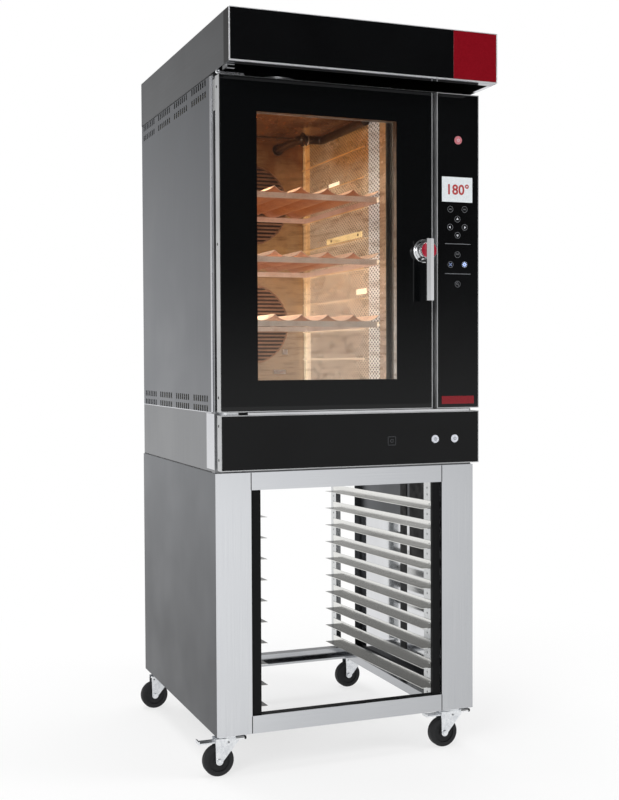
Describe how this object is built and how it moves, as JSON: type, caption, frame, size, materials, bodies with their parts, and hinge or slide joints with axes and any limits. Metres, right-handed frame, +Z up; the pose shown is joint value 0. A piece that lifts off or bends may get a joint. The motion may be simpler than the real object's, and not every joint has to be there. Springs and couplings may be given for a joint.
{
  "type": "convection oven on rack stand",
  "caption": "Tall convection oven with a glazed hinged door, control panel and hood, on a wheeled stainless stand with pairs of tray runners.",
  "frame": {"origin": "on the floor under the centre of the whole part's footprint", "axes": "+Z up, -Y towards the door side, +X to the right as seen from the front"},
  "size_m": [0.96, 1.1285, 2.428],
  "materials": {
    "stainless_sheet": "light brushed stainless steel sheet",
    "dark_stainless": "grey satin sheet of the sides and the hood",
    "galvanised_sheet": "galvanised steel sheet",
    "zinc_steel": "zinc plated pressed steel",
    "cavity_steel": "bright stainless steel tinted by heat",
    "steel_wire_mesh": "stainless grease filter",
    "tyre_rubber": "black solid rubber tyre and hub",
    "black_strip": "black plastic edge strip",
    "black_glass": "glass with a black print behind it",
    "door_glass": "glass with a black border round a clear window",
    "clear_glass": "clear heat resistant glass",
    "red_enamel": "glossy red enamel",
    "red_disc": "glossy red plastic",
    "chrome_handle": "polished chrome",
    "satin_handle": "satin aluminium",
    "button_plastic": "pale glossy plastic",
    "power_plastic": "pinkish red glossy plastic",
    "tray_aluminium": "perforated aluminium",
    "motor_casting": "painted motor housing",
    "heater_alloy": "dark oxidised heater tube",
    "mineral_wool": "compressed mineral wool",
    "silicone": "black silicone gasket",
    "gland_plastic": "black polyamide",
    "brass_fitting": "brass pipe fitting"
  },
  "bodies": {
    "oven": {"castor_plates": "zinc_steel", "stand_skins": "stainless_sheet", "stand_posts": "stainless_sheet", "stand_rails": "stainless_sheet", "stand_edge_strips": "black_strip", "rack_uprights": "stainless_sheet", "rack_runners_right": "stainless_sheet", "rack_runners_left": "stainless_sheet", "service_shell": "stainless_sheet", "service_panel": "stainless_sheet", "service_glass": "black_glass", "control_panel": "stainless_sheet", "control_glass": "black_glass", "oven_side_right": "dark_stainless", "oven_side_left": "dark_stainless", "oven_back": "galvanised_sheet", "oven_front_frame": "stainless_sheet", "cavity_liner": "cavity_steel", "insulation": "mineral_wool", "fan_baffle": "cavity_steel", "fan_motors": "motor_casting", "heater_rings": "heater_alloy", "cavity_racks": "cavity_steel", "steam_pipe": "cavity_steel", "door_gasket": "silicone", "hinge_brackets": "stainless_sheet", "latch_keeper": "stainless_sheet", "hood_shell": "dark_stainless", "hood_fascia": "black_glass", "hood_red_panel": "red_enamel", "hood_filter": "steel_wire_mesh", "cable_gland": "gland_plastic", "water_fittings": "brass_fitting"},
    "castor_front_left": {"castor_fork_front_left": "zinc_steel"},
    "wheel_front_left": {"castor_wheel_front_left": "tyre_rubber"},
    "pedal_front_left": {"brake_pedal_front_left": "zinc_steel"},
    "castor_front_right": {"castor_fork_front_right": "zinc_steel"},
    "wheel_front_right": {"castor_wheel_front_right": "tyre_rubber"},
    "pedal_front_right": {"brake_pedal_front_right": "zinc_steel"},
    "castor_rear_left": {"castor_fork_rear_left": "zinc_steel"},
    "wheel_rear_left": {"castor_wheel_rear_left": "tyre_rubber"},
    "castor_rear_right": {"castor_fork_rear_right": "zinc_steel"},
    "wheel_rear_right": {"castor_wheel_rear_right": "tyre_rubber"},
    "left_service_button": {"service_button_left": "button_plastic"},
    "right_service_button": {"service_button_right": "button_plastic"},
    "on_off_button": {"power_button": "power_plastic"},
    "lower_fan": {"fan_wheel_lower": "cavity_steel"},
    "upper_fan": {"fan_wheel_upper": "cavity_steel"},
    "lower_tray": {"baguette_tray_lower": "tray_aluminium"},
    "middle_tray": {"baguette_tray_middle": "tray_aluminium"},
    "upper_tray": {"baguette_tray_upper": "tray_aluminium"},
    "door": {"door_frame": "stainless_sheet", "door_outer_glass": "door_glass", "door_inner_glass": "clear_glass", "door_hinge_pins": "zinc_steel", "handle_rose": "chrome_handle"},
    "handle": {"handle_hub": "chrome_handle", "handle_disc": "red_disc", "handle_bar": "satin_handle", "latch_tongue": "zinc_steel"}
  },
  "joints": [
    {"name": "swivel_front_left", "type": "hinge", "parent": "oven", "child": "castor_front_left", "pos_m": [-0.38, -0.353, 0.1217], "axis": [0, 0, 1], "continuous": true},
    {"name": "roll_front_left", "type": "hinge", "parent": "castor_front_left", "child": "wheel_front_left", "pos_m": [-0.418, -0.353, 0.05], "axis": [0, 1, 0], "continuous": true},
    {"name": "brake_front_left", "type": "hinge", "parent": "castor_front_left", "child": "pedal_front_left", "pos_m": [-0.422, -0.353, 0.111], "axis": [0, -1, 0], "range_deg": [0, 10]},
    {"name": "swivel_front_right", "type": "hinge", "parent": "oven", "child": "castor_front_right", "pos_m": [0.42, -0.353, 0.1217], "axis": [0, 0, 1], "continuous": true},
    {"name": "roll_front_right", "type": "hinge", "parent": "castor_front_right", "child": "wheel_front_right", "pos_m": [0.382, -0.353, 0.05], "axis": [0, 1, 0], "continuous": true},
    {"name": "brake_front_right", "type": "hinge", "parent": "castor_front_right", "child": "pedal_front_right", "pos_m": [0.378, -0.353, 0.111], "axis": [0, -1, 0], "range_deg": [0, 10]},
    {"name": "swivel_rear_left", "type": "hinge", "parent": "oven", "child": "castor_rear_left", "pos_m": [-0.38, 0.473, 0.1217], "axis": [0, 0, 1], "continuous": true},
    {"name": "roll_rear_left", "type": "hinge", "parent": "castor_rear_left", "child": "wheel_rear_left", "pos_m": [-0.418, 0.473, 0.05], "axis": [0, 1, 0], "continuous": true},
    {"name": "swivel_rear_right", "type": "hinge", "parent": "oven", "child": "castor_rear_right", "pos_m": [0.42, 0.473, 0.1217], "axis": [0, 0, 1], "continuous": true},
    {"name": "roll_rear_right", "type": "hinge", "parent": "castor_rear_right", "child": "wheel_rear_right", "pos_m": [0.382, 0.473, 0.05], "axis": [0, 1, 0], "continuous": true},
    {"name": "left_service_button_push", "type": "slide", "parent": "oven", "child": "left_service_button", "axis": [0, 1, 0], "range_m": [0, 0.0025], "stiffness_N_per_m": 600, "springref_m": -0.001},
    {"name": "right_service_button_push", "type": "slide", "parent": "oven", "child": "right_service_button", "axis": [0, 1, 0], "range_m": [0, 0.0025], "stiffness_N_per_m": 600, "springref_m": -0.001},
    {"name": "on_off_button_push", "type": "slide", "parent": "oven", "child": "on_off_button", "axis": [0, 1, 0], "range_m": [0, 0.0025], "stiffness_N_per_m": 600, "springref_m": -0.001},
    {"name": "lower_fan_spin", "type": "hinge", "parent": "oven", "child": "lower_fan", "pos_m": [-0.08, 0.4095, 1.4545], "axis": [0, 1, 0], "continuous": true},
    {"name": "upper_fan_spin", "type": "hinge", "parent": "oven", "child": "upper_fan", "pos_m": [-0.08, 0.4095, 1.9055], "axis": [0, 1, 0], "continuous": true},
    {"name": "lower_tray_slide", "type": "slide", "parent": "oven", "child": "lower_tray", "axis": [0, -1, 0], "range_m": [0, 0.03]},
    {"name": "middle_tray_slide", "type": "slide", "parent": "oven", "child": "middle_tray", "axis": [0, -1, 0], "range_m": [0, 0.03]},
    {"name": "upper_tray_slide", "type": "slide", "parent": "oven", "child": "upper_tray", "axis": [0, -1, 0], "range_m": [0, 0.03]},
    {"name": "door_hinge", "type": "hinge", "parent": "oven", "child": "door", "pos_m": [-0.405, -0.429, 1.159], "axis": [0, 0, -1], "range_deg": [0, 120]},
    {"name": "handle_turn", "type": "hinge", "parent": "door", "child": "handle", "pos_m": [0.2647, -0.448, 1.674], "axis": [0, 1, 0], "range_deg": [0, 90]}
  ]
}
